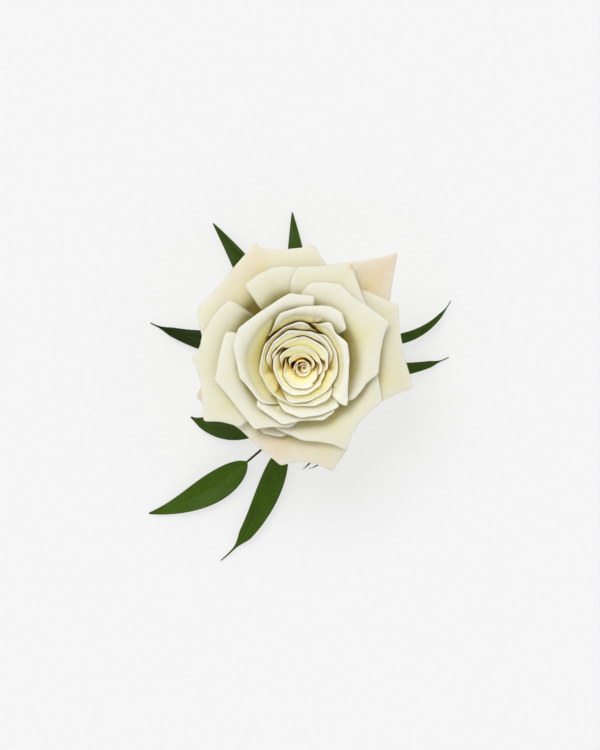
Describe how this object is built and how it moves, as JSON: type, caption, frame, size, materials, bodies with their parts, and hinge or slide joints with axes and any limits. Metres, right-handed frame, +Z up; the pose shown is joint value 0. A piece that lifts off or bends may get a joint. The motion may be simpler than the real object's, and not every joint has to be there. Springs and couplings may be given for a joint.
{
  "type": "boutonniere",
  "caption": "Cream-white open rose boutonniere with pointed dark green ruscus leaves and a short taped stem, lying on its back with the bloom facing up",
  "frame": {"origin": "on the surface it lies on, below the middle of its bounding box", "axes": "+Z up, out of the bloom; +Y from the cut stem ends towards the top of the bloom; +X to the right of the bloom as seen from above"},
  "size_m": [0.1093, 0.126, 0.0498],
  "materials": {
    "petal": "soft, velvety, slightly translucent cream-white petal",
    "guard_petal": "soft outer petal with a faint pink and green tint",
    "sepal": "matte green calyx",
    "stem": "satin green stem",
    "leaf": "glossy dark green leaf with fine lengthwise veins",
    "tape": "waxed crepe paper floral tape"
  },
  "bodies": {
    "root": {"centre_petal_1": "petal", "centre_petal_2": "petal", "centre_petal_3": "petal", "centre_petal_4": "petal", "centre_petal_5": "petal", "centre_petal_6": "petal", "centre_petal_7": "petal", "centre_petal_8": "petal", "centre_petal_9": "petal", "centre_petal_10": "petal", "ring_petal_1": "petal", "ring_petal_2": "petal", "ring_petal_3": "petal", "ring_petal_4": "petal", "ring_petal_5": "petal", "middle_petal_1": "petal", "middle_petal_2": "petal", "middle_petal_3": "petal", "middle_petal_4": "petal", "outer_petal_1": "petal", "outer_petal_2": "petal", "outer_petal_3": "petal", "outer_petal_4": "petal", "outer_petal_5": "petal", "outer_petal_6": "guard_petal", "outer_petal_7": "guard_petal", "outer_petal_8": "guard_petal", "hip": "sepal", "sepal_1": "sepal", "sepal_2": "sepal", "sepal_3": "sepal", "sepal_4": "sepal", "sepal_5": "sepal", "rose_stem": "stem", "sprig_stem_left": "stem", "sprig_stem_right": "stem", "floral_tape": "tape", "leaf_1": "leaf", "leaf_2": "leaf", "leaf_3": "leaf", "leaf_4": "leaf", "leaf_5": "leaf", "leaf_6": "leaf", "leaf_7": "leaf", "leaf_8": "leaf", "leaf_9": "leaf", "leaf_10": "leaf"}
  },
  "joints": []
}
